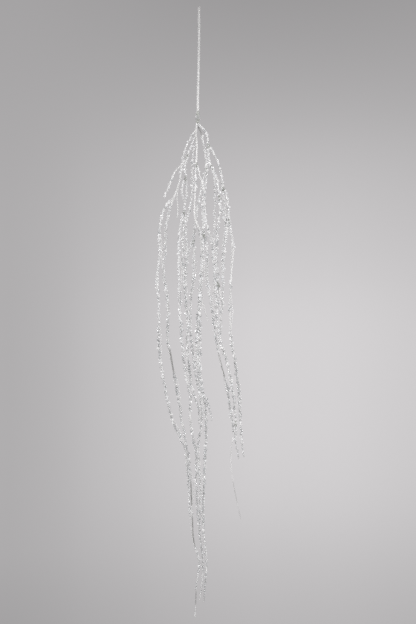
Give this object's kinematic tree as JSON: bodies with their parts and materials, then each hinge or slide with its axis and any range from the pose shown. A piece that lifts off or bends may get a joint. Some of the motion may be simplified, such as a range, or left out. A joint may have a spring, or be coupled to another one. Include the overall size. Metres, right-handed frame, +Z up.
{
  "type": "hanging icicle spray",
  "caption": "Hanging icicle spray: a straight wrapped stem over a bound crown, from which stiff drooping wire twigs fork again and again and carry clear ice-like chips to their tips.",
  "frame": {"origin": "centre of the stem's top end face, where the spray is held", "axes": "+Z up along the stem, so that the spray hangs towards -Z; +X to the right and -Y towards the viewer when seen from the front"},
  "size_m": [0.1759, 0.096, 1.2201],
  "materials": {
    "white_coating": "satin white wrapped plastic",
    "ice_coating": "clear icy resin with glitter",
    "binding_tape": "stretched white floral tape",
    "steel_wire": "bright drawn wire"
  },
  "bodies": {
    "root": {"stem_sleeve": "white_coating", "stem_wire": "steel_wire", "crown_collar": "binding_tape", "crown_tie_wire": "steel_wire"},
    "left_bough": {"left_bough": "ice_coating", "left_long_twig_tape": "binding_tape", "left_short_twig_tape": "binding_tape", "left_back_twig_tape": "binding_tape", "centre_front_twig_tape": "binding_tape"},
    "centre_bough": {"centre_bough": "ice_coating", "centre_back_twig_tape": "binding_tape", "centre_branchlet_tape": "binding_tape", "right_long_twig_tape": "binding_tape"},
    "right_bough": {"right_bough": "ice_coating", "right_high_twig_tape": "binding_tape", "right_front_twig_tape": "binding_tape", "right_back_twig_tape": "binding_tape"},
    "left_long_twig": {"left_long_twig": "ice_coating", "left_outer_twig_tape": "binding_tape", "left_bare_twig_tape": "binding_tape"},
    "left_outer_twig": {"left_outer_twig": "ice_coating"},
    "left_bare_twig": {"left_bare_twig": "ice_coating"},
    "left_short_twig": {"left_short_twig": "ice_coating", "left_front_twig_tape": "binding_tape"},
    "left_front_twig": {"left_front_twig": "ice_coating", "left_branchlet_tape": "binding_tape", "left_middle_twig_tape": "binding_tape"},
    "left_branchlet": {"left_branchlet": "ice_coating"},
    "left_middle_twig": {"left_middle_twig": "ice_coating"},
    "left_back_twig": {"left_back_twig": "ice_coating"},
    "centre_front_twig": {"centre_front_twig": "ice_coating", "right_filament_tape": "binding_tape"},
    "right_filament": {"right_filament": "white_coating"},
    "centre_back_twig": {"centre_back_twig": "ice_coating", "centre_back_branchlet_tape": "binding_tape"},
    "centre_back_branchlet": {"centre_back_branchlet": "ice_coating"},
    "centre_branchlet": {"centre_branchlet": "ice_coating"},
    "right_long_twig": {"right_long_twig": "ice_coating"},
    "right_high_twig": {"right_high_twig": "ice_coating", "right_outer_twig_tape": "binding_tape"},
    "right_outer_twig": {"right_outer_twig": "ice_coating", "right_inner_branchlet_tape": "binding_tape"},
    "right_inner_branchlet": {"right_inner_branchlet": "ice_coating"},
    "right_front_twig": {"right_front_twig": "ice_coating", "right_front_branchlet_tape": "binding_tape"},
    "right_front_branchlet": {"right_front_branchlet": "ice_coating"},
    "right_back_twig": {"right_back_twig": "ice_coating"}
  },
  "joints": [
    {"name": "left_bough_bend", "type": "hinge", "parent": "root", "child": "left_bough", "pos_m": [-0.0048, -0.0012, -0.235], "axis": [0, 1, 0], "range_deg": [0, 35]},
    {"name": "centre_bough_bend", "type": "hinge", "parent": "root", "child": "centre_bough", "pos_m": [-0.0026, 0.0026, -0.235], "axis": [0.995, 0.0995, 0], "range_deg": [0, 30]},
    {"name": "right_bough_bend", "type": "hinge", "parent": "root", "child": "right_bough", "pos_m": [-0.0004, -0.0012, -0.235], "axis": [-0.0995, -0.995, 0], "range_deg": [0, 35]},
    {"name": "left_long_twig_bend", "type": "hinge", "parent": "left_bough", "child": "left_long_twig", "pos_m": [-0.0112, -0.0019, -0.2517], "axis": [0.1961, 0.9806, 0], "range_deg": [0, 30]},
    {"name": "left_outer_twig_bend", "type": "hinge", "parent": "left_long_twig", "child": "left_outer_twig", "pos_m": [-0.0583, 0.0188, -0.3868], "axis": [-0.2425, 0.9701, 0], "range_deg": [0, 30]},
    {"name": "left_bare_twig_bend", "type": "hinge", "parent": "left_long_twig", "child": "left_bare_twig", "pos_m": [-0.0427, 0.028, -0.3628], "axis": [0.9806, -0.1961, 0], "range_deg": [0, 40]},
    {"name": "left_short_twig_bend", "type": "hinge", "parent": "left_bough", "child": "left_short_twig", "pos_m": [-0.0093, -0.009, -0.2623], "axis": [-0.8944, 0.4472, 0], "range_deg": [0, 30]},
    {"name": "left_front_twig_bend", "type": "hinge", "parent": "left_short_twig", "child": "left_front_twig", "pos_m": [-0.0228, -0.021, -0.3019], "axis": [-0.995, -0.0995, 0], "range_deg": [0, 30]},
    {"name": "left_branchlet_bend", "type": "hinge", "parent": "left_front_twig", "child": "left_branchlet", "pos_m": [-0.0295, -0.0226, -0.3482], "axis": [-0.6, 0.8, 0], "range_deg": [0, 40]},
    {"name": "left_middle_twig_bend", "type": "hinge", "parent": "left_front_twig", "child": "left_middle_twig", "pos_m": [-0.0323, -0.0108, -0.4145], "axis": [-0.8944, 0.4472, 0], "range_deg": [0, 30]},
    {"name": "left_back_twig_bend", "type": "hinge", "parent": "left_bough", "child": "left_back_twig", "pos_m": [-0.0067, -0.0025, -0.2728], "axis": [0.9578, 0.2873, 0], "range_deg": [0, 30]},
    {"name": "centre_front_twig_bend", "type": "hinge", "parent": "left_bough", "child": "centre_front_twig", "pos_m": [-0.0021, -0.0225, -0.3195], "axis": [-0.9285, -0.3714, 0], "range_deg": [0, 30]},
    {"name": "right_filament_bend", "type": "hinge", "parent": "centre_front_twig", "child": "right_filament", "pos_m": [0.0708, -0.0343, -0.8344], "axis": [-0.9285, 0.3714, 0], "range_deg": [0, 40]},
    {"name": "centre_back_twig_bend", "type": "hinge", "parent": "centre_bough", "child": "centre_back_twig", "pos_m": [0.0126, 0.0224, -0.3256], "axis": [0.9806, 0.1961, 0], "range_deg": [0, 30]},
    {"name": "centre_back_branchlet_bend", "type": "hinge", "parent": "centre_back_twig", "child": "centre_back_branchlet", "pos_m": [-0.0146, 0.0491, -0.4699], "axis": [0.6585, 0.7526, 0], "range_deg": [0, 40]},
    {"name": "centre_branchlet_bend", "type": "hinge", "parent": "centre_bough", "child": "centre_branchlet", "pos_m": [0.0041, 0.0213, -0.5854], "axis": [0.7071, -0.7071, 0], "range_deg": [0, 40]},
    {"name": "right_long_twig_bend", "type": "hinge", "parent": "centre_bough", "child": "right_long_twig", "pos_m": [0.012, 0.0236, -0.4583], "axis": [0.9578, -0.2873, 0], "range_deg": [0, 30]},
    {"name": "right_high_twig_bend", "type": "hinge", "parent": "right_bough", "child": "right_high_twig", "pos_m": [0.0229, -0.0021, -0.2802], "axis": [0.507, -0.8619, 0], "range_deg": [0, 25]},
    {"name": "right_outer_twig_bend", "type": "hinge", "parent": "right_high_twig", "child": "right_outer_twig", "pos_m": [0.0519, 0.0179, -0.3641], "axis": [-0.2873, -0.9578, 0], "range_deg": [0, 30]},
    {"name": "right_inner_branchlet_bend", "type": "hinge", "parent": "right_outer_twig", "child": "right_inner_branchlet", "pos_m": [0.0581, 0.0007, -0.4303], "axis": [-0.9578, 0.2873, 0], "range_deg": [0, 40]},
    {"name": "right_front_twig_bend", "type": "hinge", "parent": "right_bough", "child": "right_front_twig", "pos_m": [0.0424, -0.0152, -0.3838], "axis": [-0.8, -0.6, 0], "range_deg": [0, 30]},
    {"name": "right_front_branchlet_bend", "type": "hinge", "parent": "right_front_twig", "child": "right_front_branchlet", "pos_m": [0.0406, -0.0164, -0.5578], "axis": [-0.6, -0.8, 0], "range_deg": [0, 40]},
    {"name": "right_back_twig_bend", "type": "hinge", "parent": "right_bough", "child": "right_back_twig", "pos_m": [0.0273, -0.0022, -0.3238], "axis": [0.9806, 0.1961, 0], "range_deg": [0, 30]}
  ]
}
